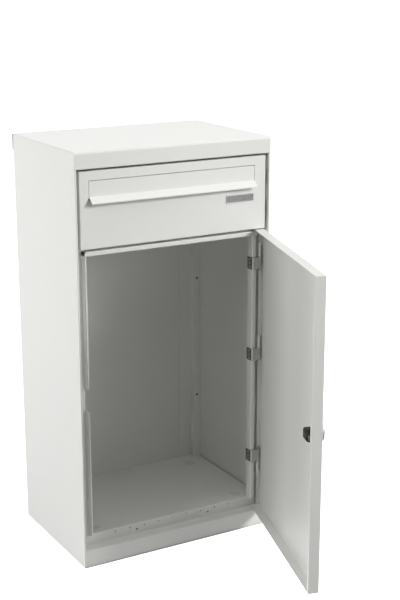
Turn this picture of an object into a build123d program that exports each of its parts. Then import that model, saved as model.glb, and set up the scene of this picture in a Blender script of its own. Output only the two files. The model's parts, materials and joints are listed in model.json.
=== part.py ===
from build123d import *
import math
import os

# A free-standing parcel box in folded sheet steel, with a letter compartment on top of a
# parcel compartment. Sizes are in millimetres. The model is laid out from the cabinet's
# front lower left corner (x to the right, y to the rear, z up from the floor), and each
# node is written with the origin at the middle of the base.

# Overall
width = 512.0
depth = 355.0
height = 1000.0
sheet = 1.2              # steel sheet thickness
bend = 1.0               # inside radius of a fold

# Side panels
edge_face = 4.5          # width of the front edge of each side panel
rear_return = 20.0       # rear flange of each side panel

# Top cover
fascia_height = 40.0
fascia_lip = 12.0        # flange under the fascia
fascia_bend = 7.0
cover_overhang = 0.8     # cover past each side panel
cover_rear_gap = 1.8     # between the back panel and the cover's rear flange
rear_flange_height = 40.0
cover_seam = 0.7         # between the side panels' top edges and the cover
cover_screw_r = 2.5
cover_screw_head_r = 4.5

# Base
plinth_height = 43.8
sill_height = 26.8       # sill face, from the plinth's ledge to the floor of the compartment
base_plate_sheet = 2.0
anchor_r = 6.0           # floor anchor holes
anchor_x = 400.0         # spacing of the anchor holes
anchor_y = 240.0
access_r = 11.0          # holes in the floor above the anchors
drain_r = 1.9            # small holes in the sill
drain_count = 9
drain_pitch = 40.0
drain_drop = 8.0         # below the sill's top edge
sill_bolt_r = 2.6        # two larger holes in the sill
sill_bolt_pitch = 201.0
sill_bolt_drop = 16.0

# Doors
door_gap = 6.9           # between a side panel's front edge and a door
door_inset = 3.0         # door face behind the cabinet's front
door_depth = 25.0        # depth of the door trays
door_corner = 1.6        # outside radius of the door trays' folds
door_lip = 11.0          # return lip along the free edge
hinge_flange = 10.5      # depth of the tray along the hinge edge
parcel_door_low = 47.0
parcel_door_high = 775.0
letter_door_low = 778.0
letter_door_high = 955.0
door_rest_angle = 73.0   # parcel door open, as the box is shown

# Frame around the door openings
frame_front = 12.6       # front of the frame bars, inside the closed doors' trays
stop_gap = 2.0           # between the rear edge of a closed door and the stop face
jamb_outer = 25.5        # left bar, from the side panel's outer face
jamb_width = 3.6
parcel_post_inner = 40.5  # right bars' inner faces, from the right side's outer face
letter_post_inner = 36.0
post_width = 11.2
rail_low = 759.3
rail_height = 10.9
rail_upstand = 15.0
rail_corner = 5.0
top_rail_drop = 12.0     # letter opening's top edge below the letter door's top edge

# Back of the parcel compartment
post_strip = 20.0        # screwed strip of each rear post
post_flange = 36.0       # flange of each rear post against the back panel
post_stand = 17.6        # the strip in front of the back panel
liner_gap = 2.5          # slit between a rear post and the inner back plate
post_screw_r = 2.5

# Hinges
hinge_x = 19.0           # pin from the right side's outer face
hinge_y = 13.0
pin_r = 3.2
pin_clearance = 0.05
knuckle_r = 4.8
leaf_sheet = 1.5
leaf_height = 31.0
leaf_depth = 24.0        # wing on the hinge bar's inner face
leaf_screw_r = 2.2
leaf_screw_pitch = 9.8
pin_shown = 30.0         # bare length of pin between the leaf and its clip
clip_height = 3.0
clip_front = 1.0         # clip in front of the pin
notch_y = 6.0            # the hinge flange is cut back to this y at each pin
parcel_leaf_low = [675.0, 442.0, 173.0]
parcel_pin_up = [True, True, False]
letter_leaf_low = [800.0, 888.0]
letter_pin_up = [True, False]
letter_pin_shown = 8.0

# Lock
lock_x = 46.0            # from the left side panel's outer face, door closed
lock_z = 412.0
cylinder_r = 8.0
cylinder_reach = 24.0    # inside the door
plug_r = 5.5
plug_clearance = 0.05
keyway_width = 1.6
keyway_height = 7.0
key_depth = 9.0
case_wall = 1.6
case_width = 2 * cylinder_r + 6.0
case_low = cylinder_r + 5.4          # case below the cylinder's axis
case_height = case_low + cylinder_r + 6.4
case_heel = 2.0          # height of the block beside the skin, above the case
case_window = 25.0       # depth of the opening in the case's free-edge side
case_window_share = 0.55  # of the case's height
bolt_height = cylinder_r + 4.0
bolt_thick = 2.0
bolt_gap = 0.3           # bolt behind the jamb's stop face
bolt_travel = 13.5
bolt_clearance = 0.4
grip_width = 2 * cylinder_r + 11.0
grip_height = 2 * cylinder_r + 25.0
grip_reach = 14.5        # in front of the door's face
grip_low = cylinder_r + 6.5          # grip below the cylinder's axis
grip_screw_r = 1.6
jamb_notch = 56.0        # cut in the left bar, where the bolt passes

# Letter flap
flap_left = 35.5         # from the side panel's outer face
flap_width = 434.0
flap_high = 932.6
flap_fold = 897.0        # height of the fold above the lip
flap_low = 882.0
flap_reach = 15.0        # lip in front of the flap's face
flap_gap = 1.0           # beside the flap
flap_top_gap = 1.4
slot_low = 889.0
rod_r = 2.0
rod_clearance = 0.05
rod_y = 6.6
rod_drop = 3.0           # rod's axis below the flap's top edge
barrel_r = 3.2

# Nameplate
plate_left = 390.6
plate_low = 847.7
plate_width = 77.0
plate_height = 20.0
plate_thick = 2.4
plate_clip = 7.0         # end clips
label_thick = 0.5
window_thick = 0.8

# Letter door's latch
latch_gap = 5.0          # above the cross rail's upstand
latch_height = 10.0
latch_thick = 4.0
latch_travel = 9.0
latch_x = 47.0           # far end of the bar
latch_arm = 8.0          # width of the arm
latch_reach = 42.0       # from the bar to the knob's stem
latch_clearance = 0.4
stem_r = 3.0
knob_r = 8.0
knob_height = 5.0
knob_gap = 1.5           # under the shelf

# Worked out from the above
door_back = door_inset + door_depth
stop_face = door_back + stop_gap         # face behind the doors
inner_left = sheet
inner_right = width - sheet
floor_top = plinth_height + sill_height
bolt_y = stop_face + sheet + bolt_gap    # bolt's front face, door closed
case_back = bolt_y + bolt_thick + bolt_clearance + case_wall
back_face = depth - 2 * sheet            # inner face of the back panel
side_top = height - sheet - cover_seam
fascia_low = height - fascia_height
door_left = edge_face + door_gap
door_right = width - door_left
parcel_post_face = width - parcel_post_inner
letter_post_face = width - letter_post_inner
rail_right = letter_post_face + post_width
jamb_inner = jamb_outer + jamb_width
rail_high = rail_low + rail_height
pin_x = width - hinge_x


def block(x0, x1, y0, y1, z0, z1):
    """A box between two corners."""
    return Pos(x0, y0, z0) * Box(x1 - x0, y1 - y0, z1 - z0, align=(Align.MIN, Align.MIN, Align.MIN))


def rod(radius, start, end):
    """A round bar between two points on a line along x, y or z."""
    a = Vector(*start)
    b = Vector(*end)
    plane = Plane(origin=a, z_dir=b - a)
    return plane * Cylinder(radius, (b - a).length, align=(Align.CENTER, Align.CENTER, Align.MIN))


def section(points, side, thick=sheet, inside=bend):
    """Section of a folded sheet: points run along one face, and the sheet lies on their
    left (side 1) or on their right (side -1). Each fold has its inside radius."""
    path = [Vector(u, v) for u, v in points]
    steps = [(b - a).normalized() for a, b in zip(path, path[1:])]
    normals = [Vector(-d.Y, d.X) * side for d in steps]
    other = [path[0] + normals[0] * thick]
    near_r = [0.0]
    far_r = [0.0]
    for i in range(1, len(path) - 1):
        blend = normals[i - 1] + normals[i]
        other.append(path[i] + blend * (thick / (1 + normals[i - 1].dot(normals[i]))))
        turn = (steps[i - 1].X * steps[i].Y - steps[i - 1].Y * steps[i].X) * side
        near_r.append(inside + thick if turn > 0 else inside)
        far_r.append(inside if turn > 0 else inside + thick)
    other.append(path[-1] + normals[-1] * thick)
    near_r.append(0.0)
    far_r.append(0.0)
    ring = path + other[::-1]
    return make_face(FilletPolyline(*ring, radius=near_r + far_r[::-1], close=True))


def along_z(face, z0, z1):
    """A section drawn in x and y, carried from z0 up to z1."""
    return Pos(0, 0, z0) * extrude(face, z1 - z0)


def along_x(face, x0, x1):
    """A section drawn in y and z, carried from x0 across to x1."""
    return Plane(origin=(x0, 0, 0), x_dir=(0, 1, 0), z_dir=(1, 0, 0)) * extrude(face, x1 - x0)


def mirrored(shape):
    """The same piece for the other side of the cabinet."""
    return mirror(shape, about=Plane(origin=(width / 2, 0, 0), z_dir=(1, 0, 0)))


def written(name, shape, at_rest=Location()):
    """One node, moved so that the origin is at the middle of the base."""
    to_base_centre = Pos(-width / 2, -depth / 2, 0)
    moved = to_base_centre * at_rest * shape
    solids = moved.solids()
    node = solids[0] if len(solids) == 1 else Compound(children=list(solids))
    export_step(node, "parts/" + name + ".step")


# ---------------------------------------------------------------- cabinet shell


def left_side_panel():
    """Side, its front edge folded into a narrow box, and its rear flange. The front edge
    stands on the plinth's ledge and stops under the cover's fascia."""
    wall = block(0, sheet, 0, depth, 0, side_top)
    edge = along_z(section([(sheet, 0), (edge_face, 0), (edge_face, stop_face + sheet)], 1), plinth_height, side_top)
    rear = block(0, rear_return, depth - sheet, depth, 0, side_top)
    panel = wall + edge + rear
    panel -= block(-1, edge_face + 1, -1, sheet, fascia_low, height)
    # the top front corner follows the cover's fold
    centre_z = height - fascia_bend
    corner = block(-1, edge_face + 1, -1, fascia_bend, centre_z, height + 1)
    panel -= corner - rod(fascia_bend - sheet - cover_seam, (-1, fascia_bend, centre_z),
                          (edge_face + 1, fascia_bend, centre_z))
    outer = panel.edges().filter_by(Axis.Z).filter_by(lambda e: e.length > height / 2 and e.center().X < 0.01)
    ends = [e for e in outer if e.center().Y > depth - 0.01 or e.center().Y < 0.01]
    return fillet(ends, sheet)


def cover_screw_places():
    z = height - rear_flange_height / 2
    return [(x, z) for x in (width * 0.15, width * 0.5, width * 0.85)]


def top_cover():
    """One sheet: flange under the fascia, fascia, top and rear flange."""
    rear = depth + cover_rear_gap + sheet
    path = [(fascia_lip, fascia_low), (0, fascia_low), (0, height), (rear, height)]
    path += [(rear, height - rear_flange_height)]
    face = section(path, -1)
    cover = along_x(face, -cover_overhang, width + cover_overhang)
    x_edges = cover.edges().filter_by(Axis.X)
    crest = block(-cover_overhang, width + cover_overhang, 0, fascia_bend, height - fascia_bend, height)
    round_bar = rod(fascia_bend, (-cover_overhang, fascia_bend, height - fascia_bend),
                    (width + cover_overhang, fascia_bend, height - fascia_bend))
    hollow = rod(fascia_bend - sheet, (-cover_overhang, fascia_bend, height - fascia_bend),
                 (width + cover_overhang, fascia_bend, height - fascia_bend))
    cover = cover - crest + ((round_bar & crest) - hollow)
    # the flange under the fascia stays between the side panels' front edges
    ends = edge_face + cover_seam
    flange_top = fascia_low + sheet + bend
    cover -= block(-cover_overhang - 1, ends, sheet, fascia_lip + 1, fascia_low - 1, flange_top)
    cover -= block(width - ends, width + cover_overhang + 1, sheet, fascia_lip + 1, fascia_low - 1, flange_top)
    for x, z in cover_screw_places():
        cover -= rod(cover_screw_r, (x, depth, z), (x, rear + 1, z))
    return cover


def cover_screws():
    """Pan-head screws through the cover's rear flange into the back panel."""
    rear = depth + cover_rear_gap + sheet
    screws = []
    for x, z in cover_screw_places():
        shank = rod(cover_screw_r, (x, back_face - 4, z), (x, rear, z))
        head = rod(cover_screw_head_r, (x, rear, z), (x, rear + 2, z))
        screws.append(shank + head)
    return Compound(children=screws)


def back_panel():
    panel = block(inner_left, inner_right, back_face, back_face + sheet, base_plate_sheet, side_top)
    for x, z in cover_screw_places():
        panel -= rod(cover_screw_r, (x, back_face - 1, z), (x, depth, z))
    return panel


def rear_post():
    """Folded post in the right rear corner: a screwed strip facing forward, a return and
    a flange against the back panel."""
    strip_y = back_face - post_stand
    strip_x = inner_right - post_strip
    path = [(inner_right, back_face), (inner_right, strip_y), (strip_x, strip_y), (strip_x, back_face - sheet)]
    face = section(path, -1)
    box_part = along_z(face, floor_top, rail_low)
    flange = block(strip_x - post_flange, strip_x + sheet, back_face - sheet, back_face, floor_top, rail_low)
    post = box_part + flange
    for z in post_screw_heights():
        x = post_screw_x()
        post -= rod(post_screw_r, (x, strip_y - 1, z), (x, strip_y + sheet + 1, z))
    return post


def post_screw_heights():
    return [floor_top + 180.0, 580.0, rail_low - 50.0]


def post_screw_x():
    return inner_right - post_strip / 2


def rear_post_screws():
    """Screws through the strips of both rear posts."""
    screws = []
    strip_y = back_face - post_stand
    for z in post_screw_heights():
        x = post_screw_x()
        shank = rod(post_screw_r, (x, strip_y, z), (x, strip_y + 6, z))
        head = rod(post_screw_r * 1.5, (x, strip_y - 1.2, z), (x, strip_y, z))
        screws.append(shank + head)
        screws.append(mirrored(shank + head))
    return Compound(children=screws)


def inner_back_plate():
    """Plate between the rear posts, its side edges folded back to the back panel."""
    x0 = inner_left + post_strip + post_flange + liner_gap
    x1 = width - x0
    path = [(x0, back_face), (x0, back_face - 2.4), (x1, back_face - 2.4), (x1, back_face)]
    return along_z(section(path, 1, inside=0.4), floor_top, rail_low)


# ---------------------------------------------------------------- base


def anchor_places():
    return [(width / 2 + i * anchor_x / 2, depth / 2 + j * anchor_y / 2) for i in (-1, 1) for j in (-1, 1)]


def plinth():
    """Kick plate with its ledge, which runs back under the sill."""
    path = [(0, 0), (0, plinth_height), (stop_face + 4 * sheet, plinth_height)]
    return along_x(section(path, -1), inner_left, inner_right)


def base_plate():
    plate = block(inner_left, inner_right, sheet, depth - sheet, 0, base_plate_sheet)
    for x, y in anchor_places():
        plate -= rod(anchor_r, (x, y, -1), (x, y, base_plate_sheet + 1))
    return plate


def floor_pan():
    """Floor of the parcel compartment, folded down at the front as the sill and at the
    rear as a support."""
    path = [(stop_face, plinth_height), (stop_face, floor_top), (back_face, floor_top)]
    path += [(back_face, base_plate_sheet)]
    pan = along_x(section(path, -1), edge_face, width - edge_face)
    for i in range(drain_count):
        x = width / 2 + (i - (drain_count - 1) / 2) * drain_pitch
        z = floor_top - drain_drop
        pan -= rod(drain_r, (x, stop_face - 1, z), (x, stop_face + 3, z))
    for x in (width / 2 - sill_bolt_pitch / 2, width / 2 + sill_bolt_pitch / 2):
        z = floor_top - sill_bolt_drop
        pan -= rod(sill_bolt_r, (x, stop_face - 1, z), (x, stop_face + 3, z))
    for x, y in anchor_places():
        pan -= rod(access_r, (x, y, floor_top - 3), (x, y, floor_top + 1))
    return pan


def floor_plugs():
    """Plastic caps in the floor's access holes."""
    caps = []
    for x, y in anchor_places():
        body = rod(access_r, (x, y, floor_top - 5), (x, y, floor_top))
        rim = rod(access_r + 2.5, (x, y, floor_top), (x, y, floor_top + 1.5))
        hollow = rod(access_r - 1.5, (x, y, floor_top - 6), (x, y, floor_top - 1))
        cap = body + rim - hollow
        caps.append(cap)
    return Compound(children=caps)


# ---------------------------------------------------------------- frame


def lock_jamb(z0, z1):
    """Left bar of an opening: stop face, then a narrow folded bar."""
    path = [(edge_face, stop_face), (jamb_outer, stop_face), (jamb_outer, frame_front)]
    path += [(jamb_inner, frame_front), (jamb_inner, stop_face + sheet)]
    return along_z(section(path, 1, inside=0.3), z0, z1)


def hinge_jamb(face_x, z0, z1):
    """Right bar of an opening: stop face, then the box that carries the hinges, whose inner
    face is at face_x."""
    path = [(width - edge_face, stop_face), (face_x + post_width, stop_face), (face_x + post_width, frame_front)]
    path += [(face_x, frame_front), (face_x, stop_face + sheet)]
    return along_z(section(path, -1), z0, z1)


def parcel_lock_jamb():
    """Left bar of the parcel opening, notched where the lock's bolt passes behind it."""
    jamb = lock_jamb(floor_top, rail_low)
    middle = bolt_middle()
    return jamb - block(jamb_outer, jamb_inner + 1, frame_front - 1, stop_face + sheet + 1,
                        middle - jamb_notch / 2, middle + jamb_notch / 2)


def letter_opening_top():
    return letter_door_high - top_rail_drop


def letter_lock_jamb():
    """Left bar of the letter opening, its stop strip carried past both rails."""
    strip = block(edge_face, jamb_outer, stop_face, stop_face + sheet, rail_low, side_top)
    return lock_jamb(rail_high + rail_upstand, letter_opening_top()) + strip - latch_bar_hole()


def letter_hinge_jamb():
    strip = block(rail_right, width - edge_face, stop_face, stop_face + sheet, rail_low, side_top)
    return hinge_jamb(letter_post_face, rail_high + rail_upstand, letter_opening_top()) + strip


def cross_rail():
    """Rail between the compartments, with an upstand behind the letter door."""
    path = [(stop_face + sheet, rail_low), (frame_front, rail_low), (frame_front, rail_high)]
    path += [(stop_face, rail_high), (stop_face, rail_high + rail_upstand)]
    rail = along_x(section(path, -1), jamb_outer, rail_right)
    corner = block(jamb_outer, jamb_outer + rail_corner, frame_front, stop_face,
                   rail_high - rail_corner, rail_high)
    keep = rod(rail_corner, (jamb_outer + rail_corner, frame_front - 1, rail_high - rail_corner),
               (jamb_outer + rail_corner, stop_face + 1, rail_high - rail_corner))
    return rail - (corner - keep)


def top_rail():
    """Rail above the letter opening."""
    z0 = letter_opening_top()
    path = [(stop_face, side_top), (stop_face, z0 + top_rail_drop - 4), (frame_front, z0 + top_rail_drop - 4)]
    path += [(frame_front, z0), (stop_face + sheet, z0)]
    rail = along_x(section(path, 1), jamb_outer, rail_right)
    return rail


def letter_shelf():
    """Floor of the letter compartment, turned up at both sides and at the rear."""
    y0 = stop_face + sheet
    floor = block(inner_left, inner_right, y0, back_face, rail_low, rail_low + sheet)
    rear = block(inner_left, inner_right, back_face - sheet, back_face, rail_low, rail_low + 14)
    left = block(inner_left, inner_left + sheet, y0, back_face, rail_low, rail_low + 14)
    shelf = floor + rear + left + mirrored(left)
    return shelf - latch_stem_slot()


# ---------------------------------------------------------------- hinges


def wrap_leaf(face_x, z0):
    """Leaf screwed to the hinge bar's inner face, folded across in front of the bar and
    rolled into a knuckle."""
    outer = face_x - leaf_sheet
    front = hinge_y - knuckle_r
    path = [(outer, front + leaf_depth), (outer, front), (pin_x, front)]
    leaf = along_z(section(path, 1, thick=leaf_sheet, inside=0.3), z0, z0 + leaf_height)
    leaf += rod(knuckle_r, (pin_x, hinge_y, z0), (pin_x, hinge_y, z0 + leaf_height))
    leaf -= rod(pin_r + pin_clearance, (pin_x, hinge_y, z0 - 1), (pin_x, hinge_y, z0 + leaf_height + 1))
    for z in leaf_screw_heights(z0):
        leaf -= rod(leaf_screw_r, (outer - 1, leaf_screw_y(), z), (face_x + 1, leaf_screw_y(), z))
    return leaf


def leaf_screw_heights(z0):
    return [z0 + leaf_height / 2 + i * leaf_screw_pitch for i in (-1, 0, 1)]


def leaf_screw_y():
    return (frame_front + stop_face) / 2


def leaf_screws(face_x, z0):
    """Low round-head screws that hold a leaf, one solid each."""
    outer = face_x - leaf_sheet
    screws = []
    for z in leaf_screw_heights(z0):
        head = rod(leaf_screw_r * 1.5, (outer - 0.9, leaf_screw_y(), z), (outer, leaf_screw_y(), z))
        shank = rod(leaf_screw_r, (outer, leaf_screw_y(), z), (face_x, leaf_screw_y(), z))
        screws.append(head + shank)
    return screws


def pin_span(z0, up, shown):
    """Lowest and highest z of a pin: in its leaf, across the bare length, in its clip."""
    if up:
        return z0 + 2, z0 + leaf_height + shown + clip_height
    return z0 - shown - clip_height, z0 + leaf_height - 2


def clip_span(z0, up, shown):
    low = z0 + leaf_height + shown if up else z0 - shown - clip_height
    return low, low + clip_height


def hinge_pin(z0, up, shown):
    low, high = pin_span(z0, up, shown)
    return rod(pin_r, (pin_x, hinge_y, low), (pin_x, hinge_y, high))


def pin_clip(z0, up, shown):
    """Small tab on the inside of a door's hinge flange that holds a pin's end."""
    low, high = clip_span(z0, up, shown)
    tab = block(pin_x, door_right - sheet, hinge_y - pin_r - clip_front, door_inset + hinge_flange, low, high)
    return tab - rod(pin_r, (pin_x, hinge_y, low - 1), (pin_x, hinge_y, high + 1))


def notch_span(z0, up, shown):
    """The hinge flange is cut away beside a leaf and the bare length of its pin."""
    gap = 3.0
    if up:
        return z0 - gap, z0 + leaf_height + shown
    return z0 - shown, z0 + leaf_height + gap


# ---------------------------------------------------------------- door trays


def door_tray(z0, z1, leaf_lows, pin_ups, shown):
    """A door folded from one sheet: face, four flanges and a lip along the free edge.
    The hinge flange is shallower, and is cut away at each hinge."""
    outer = block(door_left, door_right, door_inset, door_back, z0, z1)
    front = outer.faces().sort_by(Axis.Y)[0]
    sides = outer.edges().filter_by(Axis.Y)
    outer = fillet(list(front.edges()) + list(sides), door_corner)
    inner = block(door_left + sheet, door_right - sheet, door_inset + sheet, door_back + 1, z0 + sheet, z1 - sheet)
    tray = outer - inner
    lip = block(door_left + sheet / 2, door_left + door_lip, door_back - sheet, door_back, z0 + sheet, z1 - sheet)
    tray += lip
    tray -= block(door_right - sheet - 0.01, door_right + 1, door_inset + hinge_flange, door_back + 1,
                  z0 + sheet, z1 - sheet)
    for low, up in zip(leaf_lows, pin_ups):
        a, b = notch_span(low, up, shown)
        tray -= block(door_right - sheet - 0.01, door_right + 1, notch_y, door_back, a, b)
    # relief at the ends of the hinge flange
    for z in (z0 + 3.0, z1 - 4.6):
        tray -= block(door_right - 5, door_right + 1, door_inset + 2 * sheet, door_back, z, z + 1.6)
    return tray


def parcel_door_tray():
    tray = door_tray(parcel_door_low, parcel_door_high, parcel_leaf_low, parcel_pin_up, pin_shown)
    tray -= rod(cylinder_r, (lock_x, -1, lock_z), (lock_x, door_back, lock_z))
    for z in grip_screw_heights():
        tray -= rod(grip_screw_r, (lock_x, -1, z), (lock_x, door_inset + sheet + 1, z))
    return tray


def flap_hole():
    x0 = flap_left - flap_gap
    x1 = flap_left + flap_width + flap_gap
    return block(x0, x1, -1, door_back, slot_low, flap_high + flap_top_gap)


def letter_door_tray():
    tray = door_tray(letter_door_low, letter_door_high, letter_leaf_low, letter_pin_up, letter_pin_shown)
    return tray - (flap_hole() & block(0, width, -1, door_inset + sheet + 0.01, 0, height))


# ---------------------------------------------------------------- lock


def grip_profile():
    """Side outline of the grip: thin at its top edge, full at the lower end, with a
    finger hollow underneath."""
    y = door_inset
    low = lock_z - grip_low
    top = low + grip_height
    ring = [(y, top), (y - grip_reach * 0.66, top), (y - grip_reach * 0.8, low + grip_height * 0.6),
            (y - grip_reach * 1.03, low + grip_height * 0.33), (y - grip_reach * 0.86, low),
            (y - grip_reach * 0.4, low + 1.5), (y, low + 4)]
    radii = [0, 5, 30, 18, 4, 6, 0]
    return make_face(FilletPolyline(*ring, radius=radii, close=True))


def door_grip():
    """Cast pull round the lock cylinder, screwed on from inside the door."""
    grip = along_x(grip_profile(), lock_x - grip_width / 2, lock_x + grip_width / 2)
    middle = lock_z - grip_low + grip_height / 2
    outline = Plane(origin=(lock_x, 40, middle), x_dir=(1, 0, 0), z_dir=(0, -1, 0)) * extrude(
        RectangleRounded(grip_width, grip_height, 9), 80)
    grip = grip & outline
    grip -= rod(cylinder_r, (lock_x, -40, lock_z), (lock_x, door_inset + 1, lock_z))
    for z in grip_screw_heights():
        grip -= rod(grip_screw_r, (lock_x, door_inset - 5, z), (lock_x, door_inset + 1, z))
    return grip


def grip_screw_heights():
    return [case_low_z() + case_height + grip_screw_r + 2.0]


def grip_screws():
    """The screw from inside the door into the grip, above the lock's case."""
    screws = []
    y = door_inset + sheet
    for z in grip_screw_heights():
        head = rod(grip_screw_r + 1.2, (lock_x, y, z), (lock_x, y + 1.4, z))
        shank = rod(grip_screw_r, (lock_x, door_inset - 5, z), (lock_x, y, z))
        screws.append(head + shank)
    return Compound(children=screws)


def cylinder_span():
    """Front and rear ends of the cylinder."""
    return door_inset - grip_reach - 0.6, door_inset + sheet + cylinder_reach


def lock_cylinder():
    """Cylinder housing: round body through the grip and the door, cast in one with the foot
    that fills the case's open side."""
    front, back = cylinder_span()
    body = rod(cylinder_r, (lock_x, front, lock_z), (lock_x, back, lock_z))
    skin = door_inset + sheet
    inside_x = lock_x - case_width / 2 - 1.0 + case_wall + 1.0
    foot = case_low_z() + case_wall + 0.6
    body += block(inside_x, lock_x, skin, skin + cylinder_reach - 1, foot, lock_z + 3)
    bore = rod(plug_r + plug_clearance, (lock_x, front - 1, lock_z), (lock_x, back + 1, lock_z))
    return body - bore


def lock_plug():
    """Plug that the key turns, with its keyway in front and a crank pin behind."""
    front, back = cylinder_span()
    plug = rod(plug_r, (lock_x, front, lock_z), (lock_x, back + 1.2, lock_z))
    key = block(lock_x - keyway_width / 2, lock_x + keyway_width / 2, front - 1, front + key_depth,
                lock_z - keyway_height / 2, lock_z + keyway_height / 2)
    pin = rod(1.2, (lock_x + plug_r - 1.8, back + 1.2, lock_z), (lock_x + plug_r - 1.8, bolt_y - 0.4, lock_z))
    return plug + pin - key


def bolt_middle():
    """Height of the bolt's middle line."""
    return lock_z + 3.5


def case_low_z():
    return lock_z - case_low


def lock_case():
    """Moulded case over the lock's works: rounded towards its back, with a heel block
    beside the skin and an opening in its free-edge side."""
    y0 = door_inset + sheet
    z0 = case_low_z()
    z1 = z0 + case_height
    x0 = lock_x - case_width / 2 - 1.0
    x1 = x0 + case_width
    ring = [(y0, z0), (case_back, z0), (case_back, z1), (y0, z1)]
    shell = along_x(make_face(FilletPolyline(*ring, radius=[0, 11, 5, 0], close=True)), x0, x1)
    plan = [(x0, y0), (x1, y0), (x1, case_back), (x0, case_back)]
    shell = shell & along_z(make_face(FilletPolyline(*plan, radius=[0, 0, 7, 1], close=True)), z0 - 1, z1 + 1)
    inner_ring = [(y0 - 1, z0 + case_wall), (case_back - case_wall, z0 + case_wall),
                  (case_back - case_wall, z1 - case_wall), (y0 - 1, z1 - case_wall)]
    hollow = along_x(make_face(FilletPolyline(*inner_ring, radius=[0, 9.4, 3.4, 0], close=True)),
                     x0 + case_wall, x1 - case_wall)
    inner_plan = [(x0, y0 - 1), (x1 - case_wall, y0 - 1), (x1 - case_wall, case_back - case_wall),
                  (x0, case_back - case_wall)]
    hollow = hollow & along_z(make_face(FilletPolyline(*inner_plan, radius=[0, 0, 5.4, 0], close=True)), z0, z1)
    case = shell - hollow
    case += block(x0, x0 + 4.0, y0, y0 + cylinder_reach, z1 - case_wall, z1 + case_heel)
    case -= block(x0 - 1, x0 + case_wall + 0.01, y0 + 1, y0 + case_window, z0 + case_wall,
                  z0 + case_height * case_window_share)
    z2 = bolt_middle() - bolt_height / 2 - bolt_clearance
    z3 = bolt_middle() + bolt_height / 2 + bolt_clearance
    return case - block(x0 - 1, x0 + case_wall + 0.01, bolt_y - bolt_clearance, case_back - case_wall, z2, z3)


def lock_bolt():
    """Flat bolt that slides out of the case, behind the jamb's stop face."""
    x0 = lock_x - case_width / 2 - 0.5
    x1 = lock_x + case_width / 2 - 1.0 - case_wall - 4.5
    z0 = bolt_middle() - bolt_height / 2
    return block(x0, x1, bolt_y, bolt_y + bolt_thick, z0, z0 + bolt_height)


# ---------------------------------------------------------------- letter flap


def rod_z():
    return flap_high - rod_drop


def letter_flap():
    """Flap plate with its barrel along the top edge and its lip along the lower edge."""
    x0 = flap_left
    x1 = flap_left + flap_width
    y = door_inset
    lip_y = y - flap_reach
    path = [(y, flap_high), (y, flap_fold), (lip_y, flap_low + 2.6), (lip_y, flap_low)]
    plate = along_x(section(path, 1), x0, x1)
    barrel = rod(barrel_r, (x0, rod_y, rod_z()), (x1, rod_y, rod_z()))
    return plate + barrel - rod(rod_r, (x0 - 1, rod_y, rod_z()), (x1 + 1, rod_y, rod_z()))


def flap_rod():
    return rod(rod_r, (flap_left - 4.8, rod_y, rod_z()), (flap_left + flap_width + 4.8, rod_y, rod_z()))


def flap_brackets():
    """Two ears behind the letter door that carry the ends of the flap's rod."""
    y0 = door_inset + sheet
    z0 = rod_z() - 5.0
    z1 = rod_z() + 5.0
    ear_x = flap_left - 4.0
    ear = block(ear_x, ear_x + 2.0, y0, y0 + 8.0, z0, z1)
    foot = block(ear_x - 8.0, ear_x + 2.0, y0, y0 + sheet, z0, z1)
    left = ear + foot
    left -= rod(rod_r + rod_clearance, (ear_x - 1, rod_y, rod_z()), (ear_x + 3, rod_y, rod_z()))
    middle = flap_left + flap_width / 2
    right = mirror(left, about=Plane(origin=(middle, 0, 0), z_dir=(1, 0, 0)))
    return Compound(children=[left, right])


# ---------------------------------------------------------------- nameplate


def nameplate_holder():
    """Shallow holder with a raised clip at each end."""
    x1 = plate_left + plate_width
    y1 = door_inset
    holder = block(plate_left, x1, y1 - plate_thick, y1, plate_low, plate_low + plate_height)
    z0 = plate_low + 2.0
    z1 = plate_low + plate_height - 2.0
    holder -= block(plate_left + plate_clip, x1 - plate_clip, y1 - plate_thick - 1, y1 - 1.1, plate_low - 1, z1 + 3)
    holder -= block(plate_left + 2.5, x1 - 2.5, y1 - 1.1 - label_thick - window_thick, y1 - 1.1, z0, z1)
    return holder


def nameplate_label():
    y1 = door_inset - 1.1
    return block(plate_left + 3.0, plate_left + plate_width - 3.0, y1 - label_thick, y1,
                 plate_low + 2.2, plate_low + plate_height - 2.2)


def nameplate_window():
    y1 = door_inset - 1.1 - label_thick
    return block(plate_left + 3.0, plate_left + plate_width - 3.0, y1 - window_thick + 0.05, y1,
                 plate_low + 2.2, plate_low + plate_height - 2.2)


# ---------------------------------------------------------------- letter door's latch


def latch_bar_y():
    """Front face of the bar, between the frame's front and the letter door's lip."""
    return (frame_front + sheet + door_back - sheet) / 2 - latch_thick / 2


def latch_bar_z():
    return rail_high + rail_upstand + latch_gap


def latch_tip():
    """Bar's tip when drawn back, just clear of the letter door's lip."""
    return door_left + door_lip + 1.6


def latch_bar():
    """Flat bar through the letter opening's left bar, which slides in front of the door's
    lip, with an arm running back over the shelf and a stem down through it."""
    y0 = latch_bar_y()
    z0 = latch_bar_z()
    stem_x = latch_x - latch_arm / 2
    stem_y = y0 + latch_reach
    bar = block(latch_tip(), latch_x, y0, y0 + latch_thick, z0, z0 + latch_height)
    arm = block(latch_x - latch_arm, latch_x, y0, stem_y + stem_r + 1, z0, z0 + latch_thick)
    stem = rod(stem_r, (stem_x, stem_y, knob_top()), (stem_x, stem_y, z0 + latch_thick))
    return bar + arm + stem


def knob_top():
    return rail_low - knob_gap


def latch_knob():
    """Round knob under the shelf."""
    stem_x = latch_x - latch_arm / 2
    stem_y = latch_bar_y() + latch_reach
    knob = rod(knob_r, (stem_x, stem_y, knob_top() - knob_height), (stem_x, stem_y, knob_top()))
    return fillet(knob.edges().filter_by(GeomType.CIRCLE), 1.5)


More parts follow.
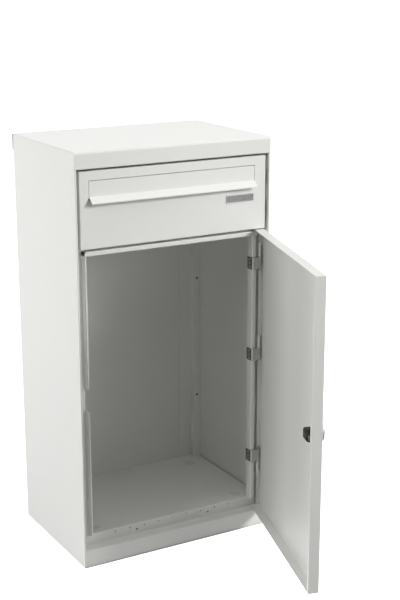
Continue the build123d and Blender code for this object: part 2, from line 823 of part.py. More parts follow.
def latch_bar_hole():
    y0 = latch_bar_y() - latch_clearance
    z0 = latch_bar_z() - latch_clearance
    return block(jamb_outer - 0.01, jamb_inner + 1, y0, y0 + latch_thick + 2 * latch_clearance,
                 z0, z0 + latch_height + 2 * latch_clearance)


def latch_stem_slot():
    """Slot in the shelf, as long as the latch's travel."""
    x = latch_x - latch_arm / 2
    y = latch_bar_y() + latch_reach
    half = stem_r + latch_clearance
    slot = block(x - latch_travel, x, y - half, y + half, rail_low - 1, rail_low + sheet + 1)
    for end in (x - latch_travel, x):
        slot += rod(half, (end, y, rail_low - 1), (end, y, rail_low + sheet + 1))
    return slot


# ---------------------------------------------------------------- all nodes

os.makedirs("parts", exist_ok=True)

door_open = Pos(pin_x, hinge_y, 0) * Rot(0, 0, door_rest_angle) * Pos(-pin_x, -hinge_y, 0)

parcel_hinges = list(zip(parcel_leaf_low, parcel_pin_up))
letter_hinges = list(zip(letter_leaf_low, letter_pin_up))

written("left_side_panel", left_side_panel())
written("right_side_panel", mirrored(left_side_panel()))
written("top_cover", top_cover())
written("cover_screws", cover_screws())
written("back_panel", back_panel())
written("rear_post_right", rear_post())
written("rear_post_left", mirrored(rear_post()))
written("rear_post_screws", rear_post_screws())
written("inner_back_plate", inner_back_plate())

written("plinth", plinth())
written("base_plate", base_plate())
written("floor_pan", floor_pan())
written("floor_plugs", floor_plugs())

written("parcel_lock_jamb", parcel_lock_jamb())
written("parcel_hinge_jamb", hinge_jamb(parcel_post_face, floor_top, rail_low))
written("cross_rail", cross_rail())
written("letter_shelf", letter_shelf())
written("letter_lock_jamb", letter_lock_jamb())
written("letter_hinge_jamb", letter_hinge_jamb())
written("top_rail", top_rail())

written("parcel_hinge_leaves", Compound(children=[wrap_leaf(parcel_post_face, z) for z in parcel_leaf_low]))
parcel_screws = [screw for z in parcel_leaf_low for screw in leaf_screws(parcel_post_face, z)]
written("parcel_hinge_screws", Compound(children=parcel_screws))
written("letter_hinge_leaves", Compound(children=[wrap_leaf(letter_post_face, z) for z in letter_leaf_low]))
letter_screws = [screw for z in letter_leaf_low for screw in leaf_screws(letter_post_face, z)]
written("letter_hinge_screws", Compound(children=letter_screws))

written("parcel_door_tray", parcel_door_tray(), door_open)
written("parcel_hinge_pins", Compound(children=[hinge_pin(z, up, pin_shown) for z, up in parcel_hinges]), door_open)
written("parcel_pin_clips", Compound(children=[pin_clip(z, up, pin_shown) for z, up in parcel_hinges]), door_open)
written("door_grip", door_grip(), door_open)
written("grip_screws", grip_screws(), door_open)
written("lock_cylinder", lock_cylinder(), door_open)
written("lock_case", lock_case(), door_open)
written("lock_plug", lock_plug(), door_open)
written("lock_bolt", lock_bolt(), door_open)

written("letter_door_tray", letter_door_tray())
written("letter_hinge_pins", Compound(children=[hinge_pin(z, up, letter_pin_shown) for z, up in letter_hinges]))
written("letter_pin_clips", Compound(children=[pin_clip(z, up, letter_pin_shown) for z, up in letter_hinges]))
written("flap_brackets", flap_brackets())
written("nameplate_holder", nameplate_holder())
written("nameplate_label", nameplate_label())
written("nameplate_window", nameplate_window())
written("letter_flap", letter_flap())
written("flap_rod", flap_rod())
written("latch_bar", latch_bar())
written("latch_knob", latch_knob())
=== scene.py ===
"""Parcel drop box in powder-coated sheet steel: camera, light, finishes and the finer pieces
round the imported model. Lengths are in metres, in the model's own frame."""

import json
import math

import bpy
import numpy as np
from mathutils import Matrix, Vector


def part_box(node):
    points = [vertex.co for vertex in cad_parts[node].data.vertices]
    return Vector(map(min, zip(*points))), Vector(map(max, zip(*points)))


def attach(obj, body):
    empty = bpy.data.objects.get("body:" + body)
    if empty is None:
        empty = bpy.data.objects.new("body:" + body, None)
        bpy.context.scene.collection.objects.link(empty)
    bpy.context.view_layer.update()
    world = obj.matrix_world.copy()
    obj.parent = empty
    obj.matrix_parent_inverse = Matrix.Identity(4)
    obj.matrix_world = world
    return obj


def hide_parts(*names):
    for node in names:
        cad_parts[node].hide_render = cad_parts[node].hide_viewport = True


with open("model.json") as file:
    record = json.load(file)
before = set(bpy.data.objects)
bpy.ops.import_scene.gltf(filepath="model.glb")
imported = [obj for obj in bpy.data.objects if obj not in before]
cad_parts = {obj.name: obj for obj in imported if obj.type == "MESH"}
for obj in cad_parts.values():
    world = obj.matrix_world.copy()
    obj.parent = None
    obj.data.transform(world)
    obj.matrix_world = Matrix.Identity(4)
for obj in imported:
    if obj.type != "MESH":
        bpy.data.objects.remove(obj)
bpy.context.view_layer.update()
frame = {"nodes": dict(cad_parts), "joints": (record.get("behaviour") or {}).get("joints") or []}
nodes = frame["nodes"]
joints = {joint["name"]: joint for joint in frame["joints"]}

# ---------------------------------------------------------------- camera
# A long lens at eye height, to the left of the box and looking slightly down on it.

camera = bpy.data.objects.new("camera", bpy.data.cameras.new("camera"))
bpy.context.scene.collection.objects.link(camera)
camera.location = (-1.4022, -2.7156, 1.4197)
camera.rotation_euler = (math.radians(90 - 15.22), math.radians(0.07), math.radians(-29.99))
camera.data.lens = 76.47
camera.data.sensor_width = 36
camera.data.clip_end = 60
bpy.context.scene.camera = camera

# ---------------------------------------------------------------- studio
# A white room: pale floor, and soft boxes all round, the key to the front right. The room
# itself shows and is reflected, the soft boxes light the object, and a black card that only
# reflections see gives the bright metal its dark edges.

bpy.context.scene.view_settings.view_transform = "Standard"
studio = bpy.data.worlds.new("studio")
bpy.context.scene.world = studio
studio.use_nodes = True
studio.node_tree.nodes["Background"].inputs["Color"].default_value = (1, 1, 1, 1)
studio.node_tree.nodes["Background"].inputs["Strength"].default_value = 1.3
studio.cycles_visibility.diffuse = False


def soft_box(name, place, aim, size, power):
    """A rectangular lamp at place, facing aim, size metres on a side."""
    lamp = bpy.data.objects.new(name, bpy.data.lights.new(name, "AREA"))
    bpy.context.scene.collection.objects.link(lamp)
    lamp.data.shape = "RECTANGLE"
    lamp.data.size, lamp.data.size_y = size
    lamp.data.energy = power
    lamp.location = place
    away = np.array(place, float) - np.array(aim, float)
    flat = math.hypot(away[0], away[1])
    lamp.rotation_euler = (math.atan2(flat, away[2]), 0, math.atan2(away[0], -away[1]))
    lamp.visible_camera = False
    lamp.visible_glossy = False
    return lamp


soft_box("top_box", (0, -0.4, 3.4), (0, 0, 0.5), (3.0, 3.0), 32)
soft_box("left_box", (-3.6, 0.2, 1.6), (0, 0, 0.5), (2.4, 2.4), 75)
soft_box("key_box", (2.4, -3.2, 2.6), (0, 0, 0.5), (1.4, 1.4), 139)
soft_box("front_box", (1.2, -3.8, 1.6), (0, 0, 0.5), (1.4, 1.4), 20)
soft_box("high_left_box", (-2.6, -1.8, 3.0), (0, 0, 0.5), (1.6, 1.6), 6)
soft_box("right_box", (3.6, 0.2, 1.8), (0, 0, 0.5), (2.4, 2.4), 40)
soft_box("rear_box", (-2.8, 2.6, 2.2), (0, 0, 0.5), (1.8, 1.8), 64)
soft_box("floor_bounce", (-0.05, -0.38, 0.003), (-0.05, -0.38, 1.0), (0.75, 0.4), 0.4)

floor_half = 12.0
floor_mesh = bpy.data.meshes.new("floor")
floor_corners = [(-floor_half, -floor_half, 0), (floor_half, -floor_half, 0),
                 (floor_half, floor_half, 0), (-floor_half, floor_half, 0)]
floor_mesh.from_pydata(floor_corners, [], [(0, 1, 2, 3)])
floor = bpy.data.objects.new("floor", floor_mesh)
bpy.context.scene.collection.objects.link(floor)
floor.visible_diffuse = False
floor_paint = bpy.data.materials.new("floor_paint")
floor_paint.use_nodes = True
floor_shader = floor_paint.node_tree.nodes["Principled BSDF"]
floor_shader.inputs["Base Color"].default_value = (0.9, 0.9, 0.9, 1)
floor_shader.inputs["Roughness"].default_value = 0.9
floor_shader.inputs["Emission Color"].default_value = (1, 1, 1, 1)
floor_shader.inputs["Emission Strength"].default_value = 1.3
floor_mesh.materials.append(floor_paint)

card_mesh = bpy.data.meshes.new("black_card")
card_corners = [(1.5, -0.6, 0.0), (1.5, 1.6, 0.0), (1.5, 1.6, 1.6), (1.5, -0.6, 1.6)]
card_mesh.from_pydata(card_corners, [], [(0, 1, 2, 3)])
card = bpy.data.objects.new("black_card", card_mesh)
bpy.context.scene.collection.objects.link(card)
card.visible_camera = False
card.visible_diffuse = False
card.visible_shadow = False
card_paint = bpy.data.materials.new("card_paint")
card_paint.use_nodes = True
card_paint.node_tree.nodes["Principled BSDF"].inputs["Base Color"].default_value = (0.01, 0.01, 0.01, 1)
card_mesh.materials.append(card_paint)

# ---------------------------------------------------------------- folded sheet
# Sides, cover, back, base, frame bars and both doors: 1.2 mm steel, folded and then powder
# coated in white. The coat is satin, with the slight ripple that the powder leaves as it
# melts, and painted shade makes it darker towards the bottom.


class Shade:
    """One output of a node in a material. Sums, differences and products of shades add the
    Math nodes that work them out; node() adds any other node."""

    def __init__(self, tree, socket=None):
        self.tree = tree
        self.socket = socket

    def node(self, kind, settings=None, sockets=None, out=0):
        """Adds a node: its settings first, then the values or links of its sockets."""
        made = self.tree.nodes.new(kind)
        for name, value in (settings or {}).items():
            setattr(made, name, value)
        for name, value in (sockets or {}).items():
            if isinstance(value, Shade):
                self.tree.links.new(value.socket, made.inputs[name])
            else:
                made.inputs[name].default_value = value
        return Shade(self.tree, made.outputs[out])

    def maths(self, operation, *values):
        return self.node("ShaderNodeMath", {"operation": operation}, dict(enumerate(values)))

    def __add__(self, other):
        return self.maths("ADD", self, other)

    __radd__ = __add__

    def __mul__(self, other):
        return self.maths("MULTIPLY", self, other)

    def __sub__(self, other):
        return self.maths("SUBTRACT", self, other)

    def __rsub__(self, other):
        return self.maths("SUBTRACT", other, self)

    def noise(self, scale, detail=2.0, roughness=0.5, out=0):
        """Noise of the given scale (per metre) at this place."""
        return self.node("ShaderNodeTexNoise", None,
                         {"Vector": self, "Scale": scale, "Detail": detail, "Roughness": roughness}, out)

    def between(self, low, high):
        """0 at low or less and 1 at high or more, smoothly in between."""
        return self.node("ShaderNodeMapRange", {"interpolation_type": "SMOOTHSTEP"},
                         {"Value": self, "From Min": low, "From Max": high})

    def mixed(self, first, second):
        """The first colour where this shade is 0, and the second where it is 1."""
        return self.node("ShaderNodeMix", {"data_type": "RGBA"},
                         {"Factor": self, 6: first, 7: second}, 2)


def finish(name, steady):
    """A new material with the shader values that are the same all over. Gives the material, a
    function that feeds one of its sockets, and the Object coordinates."""
    material = bpy.data.materials.new(name)
    material.use_nodes = True
    tree = material.node_tree
    shader = tree.nodes["Principled BSDF"]
    for socket, value in steady.items():
        shader.inputs[socket].default_value = value

    def feed(socket, shade):
        tree.links.new(shade.socket, shader.inputs[socket])

    place = Shade(tree).node("ShaderNodeTexCoord", out="Object")
    return material, feed, place


def bumped(shade_height, strength, distance):
    """A bumped normal from a height."""
    return shade_height.node("ShaderNodeBump", None,
                             {"Strength": strength, "Distance": distance, "Height": shade_height})


def paint(material, *names):
    """Gives CAD nodes a material."""
    for name in names:
        for place in nodes[name].material_slots:
            place.material = material


def powder_coat(name, tint):
    material, feed, place = finish(name, {"IOR": 1.5})
    cloud = place.noise(2.2, 3.0)
    speck = place.noise(420.0, 2.0)
    height = place.node("ShaderNodeSeparateXYZ", None, {0: place}, 2)
    # Painted shade: the coat grows darker towards the bottom, over the lowest 0.35 m.
    low_painted_shade = (1.0 - height.between(0.0, 0.35)) * 0.35
    # The darker tint carries both the random mottling and that painted shade.
    mottled_and_shaded = tuple(channel * 0.965 for channel in tint[:3]) + (1,)
    feed("Base Color", (cloud * 0.45 + speck * 0.15 + low_painted_shade).mixed(tint, mottled_and_shaded))
    feed("Roughness", 0.36 + speck * 0.1 + cloud * 0.06)
    ripple = place.noise(520.0, 2.0, 0.55)
    feed("Normal", bumped(ripple, 0.16, 0.0004))
    return material


white_coat = powder_coat("white_powder_coat", (0.80, 0.805, 0.775, 1))
paint(white_coat, "left_side_panel", "right_side_panel", "top_cover", "back_panel", "rear_post_right",
      "rear_post_left", "inner_back_plate", "plinth", "base_plate", "floor_pan", "parcel_lock_jamb",
      "parcel_hinge_jamb", "cross_rail", "letter_shelf", "letter_lock_jamb", "letter_hinge_jamb", "top_rail",
      "parcel_door_tray", "letter_door_tray", "letter_flap")

# ---------------------------------------------------------------- fittings
# Brackets, the flap's rod, the latch bar and the lock's cylinder: steel, zinc plated in a
# barrel, so its grey is slightly cloudy. The bolt is coloured near-black as painted shade.
# Hinge pins and clips are fixed in the doors and coated white with them.


def zinc_plate(name, tint, roughness):
    material, feed, place = finish(name, {"Metallic": 1.0})
    cloud = place.noise(60.0, 3.0)
    grain = place.noise(900.0, 2.0)
    darker = tuple(channel * 0.72 for channel in tint[:3]) + (1,)
    feed("Base Color", (cloud * 0.8).mixed(tint, darker))
    feed("Roughness", roughness + cloud * 0.16 + grain * 0.06)
    feed("Normal", bumped(grain, 0.2, 0.0002))
    return material


zinc = zinc_plate("zinc_plate", (0.36, 0.36, 0.34, 1), 0.38)
paint(zinc, "flap_brackets", "flap_rod", "latch_bar", "lock_cylinder")
# The lock bolt's near-black is painted shade, so its end stays dark inside the case.
bolt_painted_shade, feed_bolt, bolt_place = finish("bolt_painted_shade_black", {"IOR": 1.5})
bolt_cloud = bolt_place.noise(120.0, 3.0)
feed_bolt("Base Color", bolt_cloud.mixed((0.03, 0.03, 0.03, 1), (0.045, 0.045, 0.044, 1)))
feed_bolt("Roughness", 0.4 + bolt_cloud * 0.15)
paint(bolt_painted_shade, "lock_bolt")
paint(white_coat, "parcel_hinge_pins", "letter_hinge_pins", "parcel_pin_clips", "letter_pin_clips")

# ---------------------------------------------------------------- screws
# Pan-head screws with a cross recess, cold headed from steel wire and zinc plated. They hold
# the hinge leaves, the rear posts, the top cover and the grip.


def skin(name, grids, body, slot, material, *stood_for):
    """A piece whose surface is one or more closed grids of points. A grid is an array
    (rings, points, 3): each ring closes on itself, the first and last rings are filled in
    from their middles, and the whole is turned so that its volume is positive."""
    points, quads, ends = [], [], []
    start = 0
    for grid in grids:
        rings, around = grid.shape[:2]
        ring, place = np.meshgrid(np.arange(rings - 1), np.arange(around), indexing="ij")
        after = (place + 1) % around
        face = np.stack([ring * around + place, ring * around + after,
                         (ring + 1) * around + after, (ring + 1) * around + place], -1).reshape(-1, 4)
        edge = np.arange(around)
        middle = rings * around
        first = np.stack([np.full(around, middle), (edge + 1) % around, edge], -1)
        rim = (rings - 1) * around
        last = np.stack([np.full(around, middle + 1), rim + edge, rim + (edge + 1) % around], -1)
        corners = np.concatenate([grid.reshape(-1, 3), [grid[0].mean(0)], [grid[-1].mean(0)]])
        fans = np.concatenate([first, last])
        split = np.concatenate([face[:, [0, 1, 2]], face[:, [0, 2, 3]], fans])
        a, b, c = (corners[split[:, k]] - corners[0] for k in range(3))
        if np.einsum("ij,ij->", a, np.cross(b, c)) < 0:
            face, fans = face[:, ::-1], fans[:, ::-1]
        points.append(corners)
        quads.append(face + start)
        ends.append(fans + start)
        start += len(corners)
    mesh = bpy.data.meshes.new(name)
    mesh.from_pydata(np.concatenate(points).tolist(), [],
                     np.concatenate(quads).tolist() + np.concatenate(ends).tolist())
    mesh.shade_smooth()
    mesh.set_sharp_from_angle(angle=math.radians(40))
    mesh.materials.append(material)
    piece = bpy.data.objects.new(name, mesh)
    bpy.context.scene.collection.objects.link(piece)
    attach(piece, body)
    if stood_for:
        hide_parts(*stood_for)
    return piece


def solids_along(node, axis, gap=0.002):
    """Boxes (low, high) of a node's solids, told apart by gaps along one axis."""
    corners = np.array([vertex.co for vertex in nodes[node].data.vertices])
    return boxes_along(corners, axis, gap)


def boxes_along(corners, axis, gap):
    ordered = corners[np.argsort(corners[:, axis])]
    breaks = np.where(np.diff(ordered[:, axis]) > gap)[0] + 1
    return [(part.min(0), part.max(0)) for part in np.split(ordered, breaks)]


def screw_head(seat, axis, radius, rise, turn):
    """Pan head. At a share s of the radius the height is rise * sqrt(1 - s^5), less a cross
    of two rounded slots, each 0.26 radius wide and 1.2 radius long."""
    axis = np.array(axis, float)
    side = np.cross(axis, (0.0, 0.0, 1.0) if abs(axis[2]) < 0.9 else (1.0, 0.0, 0.0))
    side /= np.linalg.norm(side)
    other = np.cross(axis, side)
    share = np.sqrt(np.linspace(1.0, 0.0004, 28))
    angle = np.linspace(0, 2 * math.pi, 72, endpoint=False)
    s, a = np.meshgrid(share, angle, indexing="ij")
    u = s * np.cos(a)
    v = s * np.sin(a)
    p = u * math.cos(turn) + v * math.sin(turn)
    q = v * math.cos(turn) - u * math.sin(turn)

    def slot_depth(across, along):
        return np.clip((0.15 - np.abs(across)) / 0.05, 0, 1) * np.clip((0.6 - np.abs(along)) / 0.12, 0, 1)

    cross = np.maximum(slot_depth(p, q), slot_depth(q, p))
    height = rise * np.sqrt(1 - s ** 5) - 0.62 * rise * cross
    top = (np.array(seat, float) + radius * (u[..., None] * side + v[..., None] * other)
           + height[..., None] * axis)
    foot = top[:1] - 0.0004 * axis
    return np.concatenate([foot, top])


screw_zinc = zinc_plate("screw_zinc", (0.24, 0.24, 0.23, 1), 0.34)
hinge_pin = np.array(joints["parcel_door_hinge"]["pos_m"])

for hinge_set in ("parcel_hinge_screws", "letter_hinge_screws"):
    heads = []
    for number, (low_corner, high_corner) in enumerate(solids_along(hinge_set, 2)):
        middle = (low_corner + high_corner) / 2
        seat = (low_corner[0] + 0.0009, middle[1], middle[2])
        heads.append(screw_head(seat, (-1, 0, 0), (high_corner[2] - low_corner[2]) / 2, 0.0009, number * 0.7))
    skin(hinge_set[:-1] + "_heads", heads, "cabinet", "zinc", screw_zinc, hinge_set)

cover_heads = []
for number, (low_corner, high_corner) in enumerate(solids_along("cover_screws", 0)):
    middle = (low_corner + high_corner) / 2
    seat = (middle[0], high_corner[1] - 0.002, middle[2])
    cover_heads.append(screw_head(seat, (0, 1, 0), (high_corner[0] - low_corner[0]) / 2, 0.002, number * 0.9))
skin("cover_screw_heads", cover_heads, "cabinet", "zinc", screw_zinc, "cover_screws")

post_heads = []
post_corners = np.array([vertex.co for vertex in nodes["rear_post_screws"].data.vertices])
for half in (post_corners[post_corners[:, 0] < 0], post_corners[post_corners[:, 0] > 0]):
    for number, (low_corner, high_corner) in enumerate(boxes_along(half, 2, 0.01)):
        middle = (low_corner + high_corner) / 2
        seat = (middle[0], low_corner[1] + 0.0012, middle[2])
        radius = (high_corner[2] - low_corner[2]) / 2
        post_heads.append(screw_head(seat, (0, -1, 0), radius, 0.0012, number * 0.5))
skin("rear_post_screw_heads", post_heads, "cabinet", "zinc", screw_zinc, "rear_post_screws")

# ---------------------------------------------------------------- hinge leaves
# Five leaves, each bent from a strip of 1.5 mm steel: a wing on the frame's inner face, a
# fold across its front and a roll round the pin. Zinc plated and screwed on with three screws.
# Faces pointing to -x, most of them on the wing, get a darker copy of the plating as painted shade.

leaf_steel = 0.0015


def rounded_ring(half_width, half_height, corner, steps=5):
    """Points of a rectangle with rounded corners, anticlockwise, as (points, 2)."""
    quarter = np.linspace(0, math.pi / 2, steps)
    corners = []
    for number, (u, v) in enumerate(((1, 1), (-1, 1), (-1, -1), (1, -1))):
        angle = quarter + number * math.pi / 2
        corners.append(np.stack([u * (half_width - corner) + corner * np.cos(angle),
                                 v * (half_height - corner) + corner * np.sin(angle)], -1))
    return np.concatenate(corners)


def rolled_leaf(wing_x, rear_y, front_y, pin_x, pin_y, knuckle, low_z, high_z):
    """A rounded strip carried along its middle line: back wing, quarter turn, front wing,
    then an arc of 295 degrees round the pin."""
    half = leaf_steel / 2
    fold = 0.0012
    line_x = wing_x + half
    line_y = front_y + half
    wing = np.stack([np.full(8, line_x), np.linspace(rear_y, line_y + fold, 8)], -1)
    turn = np.linspace(math.pi, 1.5 * math.pi, 8)
    bend = np.stack([line_x + fold + fold * np.cos(turn), line_y + fold + fold * np.sin(turn)], -1)
    front = np.stack([np.linspace(line_x + fold, pin_x, 8), np.full(8, line_y)], -1)
    roll = np.radians(np.linspace(-90, 205, 60))
    radius = knuckle - half
    curl = np.stack([pin_x + radius * np.cos(roll), pin_y + radius * np.sin(roll)], -1)
    line = np.concatenate([wing, bend[1:], front[1:], curl[1:]])
    along = np.gradient(line, axis=0)
    along /= np.linalg.norm(along, axis=1)[:, None]
    normal = np.stack([along[:, 1], -along[:, 0]], -1)
    ring = rounded_ring(half, (high_z - low_z) / 2, 0.0005)
    grid = np.empty((len(line), len(ring), 3))
    grid[..., :2] = line[:, None] + ring[None, :, :1] * normal[:, None]
    grid[..., 2] = (low_z + high_z) / 2 + ring[:, 1]
    return grid


leaf_zinc = zinc_plate("leaf_zinc", (0.40, 0.40, 0.385, 1), 0.42)
# A darker copy of the leaf plating: painted shade for the faces that point to -x.
shaded_wing_zinc = zinc_plate("shaded_wing_zinc", (0.15, 0.145, 0.135, 1), 0.45)
for leaf_set in ("parcel_hinge_leaves", "letter_hinge_leaves"):
    leaves = []
    for low_corner, high_corner in solids_along(leaf_set, 2, 0.04):
        leaves.append(rolled_leaf(low_corner[0], high_corner[1], low_corner[1], hinge_pin[0], hinge_pin[1],
                                  high_corner[0] - hinge_pin[0], low_corner[2], high_corner[2]))
    rolled = skin(leaf_set + "_rolled", leaves, "cabinet", "zinc", leaf_zinc, leaf_set)
    rolled.data.materials.append(shaded_wing_zinc)
    facing = np.empty(len(rolled.data.polygons) * 3)
    rolled.data.polygons.foreach_get("normal", facing)
    # Faces pointing to -x take the darker copy, as painted shade.
    painted_shade_faces = (facing.reshape(-1, 3)[:, 0] < -0.9).astype(np.int32)
    rolled.data.polygons.foreach_set("material_index", painted_shade_faces)

# ---------------------------------------------------------------- grip
# Door pull cast in zinc, polished and chrome plated. It swells from its top edge to the lock,
# with a hollow underneath for the fingers. The lock and a screw from inside hold it.

lock_axis = np.array(joints["lock_plug_turn"]["axis"], float)
lock_place = np.array(joints["lock_plug_turn"]["pos_m"], float)
lock_side = np.array([-lock_axis[1], lock_axis[0], 0.0])


def on_door(across, out, up):
    """Row-frame points from distances measured at the lock: along the door, out of its face
    and upward."""
    return (lock_place + across[..., None] * lock_side + out[..., None] * lock_axis
            + up[..., None] * np.array([0.0, 0.0, 1.0]))


# Chrome with a painted reflection: where the piece's 'rim' attribute is 1, the base colour turns to a dark
# tint that stands in for dark surroundings mirrored in the plating.
def chrome_plate(name, bright, painted_reflection_tint):
    material, feed, place = finish(name, {"Metallic": 1.0})
    smear = place.noise(90.0, 3.0)
    rim = place.node("ShaderNodeAttribute", {"attribute_name": "rim"}, None, "Fac")
    feed("Base Color", rim.mixed(smear.mixed(bright, tuple(c * 0.9 for c in bright[:3]) + (1,)), painted_reflection_tint))
    feed("Roughness", 0.05 + smear * 0.06 + rim * 0.2)
    return material


# The second colour is the dark tint of the painted reflection.
chrome = chrome_plate("chrome_plate", (0.55, 0.55, 0.55, 1), (0.1, 0.1, 0.1, 1))
paint(chrome, "lock_plug")


def painted_reflection_mask(v, up):
    """1 where a dark reflection is painted on: the flanks, the top edge and the lip
    underneath. 0 over the front."""
    flank = np.clip(1.5 - 2.0 * np.abs(v), 0, 1)[None, :]
    ends = np.clip(np.maximum(up - 0.9, 0.07 - up) * 20, 0, 1)[:, None]
    return np.maximum(flank, ends * np.ones_like(flank))


def pull_form(low, high, half_width, reach):
    """Rings from the top edge down the front, round the lower lip and up into the finger
    hollow. Each ring is a rounded rectangle between the door and the front outline."""
    tall = high - low
    # shares of: the height from the low edge, the reach in front, the reach behind, the half width
    stations = np.array([
        (1.00, 0.40, -0.02, 0.60), (0.985, 0.52, -0.02, 0.74), (0.95, 0.62, -0.02, 0.86),
        (0.88, 0.68, -0.02, 0.95), (0.76, 0.74, -0.02, 1.0), (0.62, 0.81, -0.02, 1.0),
        (0.48, 0.91, -0.02, 1.0), (0.37, 0.99, -0.02, 1.0), (0.27, 1.0, -0.02, 0.99),
        (0.14, 0.96, -0.02, 0.95), (0.05, 0.90, -0.02, 0.88), (0.01, 0.82, -0.02, 0.80),
        (0.0, 0.74, 0.02, 0.72), (0.02, 0.70, 0.08, 0.66), (0.10, 0.68, 0.12, 0.62),
        (0.2, 0.6, 0.16, 0.56)])
    fine = np.linspace(0, len(stations) - 1, 90)
    share = [np.interp(fine, np.arange(len(stations)), stations[:, k]) for k in range(4)]
    smooth = np.array([0.1, 0.2, 0.4, 0.2, 0.1])
    up, front, back, wide = (np.convolve(np.pad(s, 2, mode="edge"), smooth, mode="valid") for s in share)
    angle = np.linspace(0, 2 * math.pi, 96, endpoint=False)
    u = np.sign(np.cos(angle)) * np.abs(np.cos(angle)) ** 0.55
    v = np.sign(np.sin(angle)) * np.abs(np.sin(angle)) ** 0.55
    across = half_width * wide[:, None] * u
    out = reach * ((front + back)[:, None] / 2 + (front - back)[:, None] / 2 * v)
    height = np.broadcast_to((low + tall * up)[:, None], out.shape)
    return on_door(across, out, height), painted_reflection_mask(v, up)


grip_corners = np.array([vertex.co for vertex in nodes["door_grip"].data.vertices]) - lock_place
grip_grid, grip_painted_reflection = pull_form(grip_corners[:, 2].min(), grip_corners[:, 2].max(),
                                (grip_corners @ lock_side).max(), (grip_corners @ lock_axis).max())
grip = skin("grip", [grip_grid], "parcel_door", "chrome", chrome, "door_grip")
# The painted reflection's mask goes on the grip as its 'rim' attribute.
painted_reflection_values = np.concatenate([grip_painted_reflection.reshape(-1), [1.0, 0.0]]).astype(np.float32)
grip.data.attributes.new("rim", "FLOAT", "POINT").data.foreach_set("value", painted_reflection_values)

grip_heads = []
inner_skin = 0.0012
for number, (low_corner, high_corner) in enumerate(solids_along("grip_screws", 2)):
    height = (low_corner[2] + high_corner[2]) / 2 - lock_place[2]
    seat = on_door(np.array(0.0), np.array(-inner_skin), np.array(height))
    radius = (high_corner[2] - low_corner[2]) / 2
    grip_heads.append(screw_head(seat, -lock_axis, radius, 0.0014, number * 0.8))
skin("grip_screw_heads", grip_heads, "parcel_door", "zinc", screw_zinc, "grip_screws")

# ---------------------------------------------------------------- plastics
# Lock case and latch knob in black, floor plugs in white, nameplate holder in grey, all
# injection moulded with a fine grain. The label is a card.


def moulded(name, tint, roughness):
    material, feed, place = finish(name, {"IOR": 1.46})
    grain = place.noise(1400.0, 2.0)
    cloud = place.noise(35.0, 2.0)
    lighter = tuple(channel * 1.15 + 0.004 for channel in tint[:3]) + (1,)
    feed("Base Color", (cloud * 0.7).mixed(tint, lighter))
    feed("Roughness", roughness + grain * 0.12)
    feed("Normal", bumped(grain, 0.3, 0.0003))
    return material


black_plastic = moulded("black_plastic", (0.012, 0.012, 0.011, 1), 0.42)
paint(black_plastic, "lock_case")
white_plastic = moulded("white_plastic", (0.66, 0.66, 0.63, 1), 0.4)
grey_plastic = moulded("grey_plastic", (0.62, 0.62, 0.62, 1), 0.35)
label_card = moulded("label_card", (0.34, 0.32, 0.345, 1), 0.7)
paint(label_card, "nameplate_label")

# ---------------------------------------------------------------- floor plugs
# Four domed caps in the floor, snapped into the access holes over the anchors. Moulded in
# white plastic, with a raised ring round the rim.


def turned(centre, profile, around=72, flute=None):
    """A profile of (radius, height) pairs turned about an upright axis through centre. A
    flute function of angle and ring number can cut into the radius."""
    angle = np.linspace(0, 2 * math.pi, around, endpoint=False)
    radius = np.repeat(profile[:, :1], around, axis=1)
    if flute is not None:
        radius = radius - flute(angle[None, :], np.arange(len(profile))[:, None])
    height = np.repeat(profile[:, 1:], around, axis=1)
    return np.array(centre) + np.stack([radius * np.cos(angle), radius * np.sin(angle), height], -1)


plug_corners = np.array([vertex.co for vertex in nodes["floor_plugs"].data.vertices])
plugs = []
for half in (plug_corners[plug_corners[:, 0] < 0], plug_corners[plug_corners[:, 0] > 0]):
    for low_corner, high_corner in boxes_along(half, 1, 0.02):
        rim_radius = (high_corner[0] - low_corner[0]) / 2
        bore = rim_radius - 0.0025
        drop = high_corner[2] - low_corner[2]
        floor_line = -0.0015
        dome = np.linspace(0, 1, 10)
        crown = -0.0005 + 0.0004 * np.sin(dome * math.pi / 2)
        cap = np.stack([rim_radius * (0.72 - 0.715 * dome), crown], -1)
        profile = np.concatenate([
            [(bore - 0.0012, -drop), (bore - 0.0003, -drop), (bore, -drop + 0.0006), (bore, floor_line),
             (rim_radius - 0.0002, floor_line), (rim_radius, floor_line + 0.0003),
             (rim_radius - 0.0003, -0.0004), (rim_radius - 0.0011, 0.0),
             (rim_radius - 0.0022, -0.0001), (rim_radius - 0.0028, -0.0006)], cap])
        middle = (low_corner + high_corner) / 2
        centre = (middle[0], middle[1], high_corner[2])
        plugs.append(turned(centre, profile))
skin("floor_plug_caps", plugs, "cabinet", "white_plastic", white_plastic, "floor_plugs")

# ---------------------------------------------------------------- latch knob
# Knob under the letter shelf that slides the letter door's latch. Moulded in black plastic
# with twenty-four flutes for grip, and pressed on the latch's stem.

knob_low, knob_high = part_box("latch_knob")
knob_radius = (knob_high[0] - knob_low[0]) / 2
knob_tall = knob_high[2] - knob_low[2]
knob_rings = 24
flute_count = 24
flute_depth = 0.00035
rise = np.linspace(0, math.pi, knob_rings)
knob_profile = np.stack([knob_radius * (0.25 + 0.75 * np.sin(rise) ** 0.35),
                         knob_tall * (0.5 - 0.5 * np.cos(rise))], -1)


def flutes(angle, ring):
    """Shallow grooves that fade towards both faces."""
    fade = np.sin(math.pi * ring / (knob_rings - 1)) ** 2
    return flute_depth * (0.5 + 0.5 * np.cos(flute_count * angle)) * fade


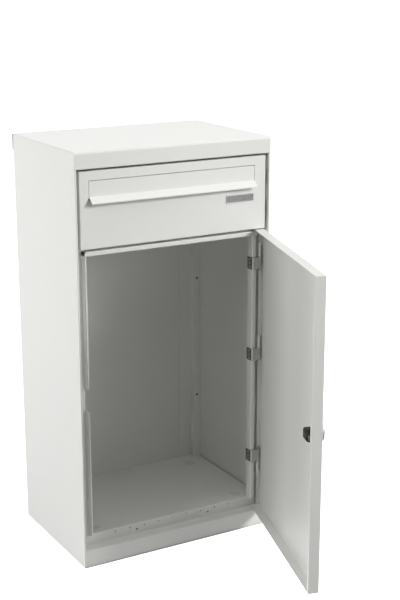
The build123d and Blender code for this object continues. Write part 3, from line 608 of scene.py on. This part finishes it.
knob_middle = ((knob_low[0] + knob_high[0]) / 2, (knob_low[1] + knob_high[1]) / 2, knob_low[2])
skin("latch_knob_fluted", [turned(knob_middle, knob_profile, 192, flutes)], "letter_latch", "black_plastic",
     black_plastic, "latch_knob")

# ---------------------------------------------------------------- nameplate
# Holder for the name card on the letter door: a shallow grey moulding with a raised clip at
# each end, riveted to the door. The card lies in it under a clear acrylic strip.

plate_low, plate_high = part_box("nameplate_holder")
plate_half_wide = (plate_high[0] - plate_low[0]) / 2
plate_half_tall = (plate_high[2] - plate_low[2]) / 2
plate_deep = plate_high[1] - plate_low[1]


def holder_form():
    """Rings that run up the outer wall, over the rim and down to the recess floor. A ring is
    a rounded rectangle; its height is the low rail's, raised smoothly at the two clips."""
    # inset, share of the depth, share of that depth kept along the rails
    steps = np.array([(0.0, -0.02, 1.0), (0.0, 0.5, 1.0), (0.0003, 0.85, 0.75), (0.0008, 0.97, 0.68),
                      (0.0013, 1.0, 0.66), (0.0019, 1.0, 0.66), (0.0023, 0.94, 0.68),
                      (0.0026, 0.8, 0.75), (0.0027, 0.46, 1.0)])
    rings = []
    for inset, deep, kept in steps:
        ring = rounded_ring(plate_half_wide - inset, plate_half_tall - inset, max(0.0022 - inset, 0.0002), 8)
        fine = np.linspace(0, 1, 12, endpoint=False)
        after = np.roll(ring, -1, axis=0)
        ring = (ring[:, None] + fine[None, :, None] * (after - ring)[:, None]).reshape(-1, 2)
        clip = np.clip((np.abs(ring[:, 0]) - plate_half_wide + 0.009) / 0.002, 0, 1)
        clip = clip * clip * (3 - 2 * clip)
        height = plate_deep * deep * (kept + (1 - kept) * clip)
        rings.append(np.stack([(plate_low[0] + plate_high[0]) / 2 + ring[:, 0], plate_high[1] - height,
                               (plate_low[2] + plate_high[2]) / 2 + ring[:, 1]], -1))
    return np.stack(rings)


skin("nameplate_holder_moulded", [holder_form()], "letter_door", "grey_plastic", grey_plastic,
     "nameplate_holder")
window_steady = {"Base Color": (0.9, 0.9, 0.9, 1), "Alpha": 0.25}
window_clear, feed_window, window_place = finish("window_clear", window_steady)
feed_window("Roughness", 0.05 + window_place.noise(200.0) * 0.05)
paint(window_clear, "nameplate_window")
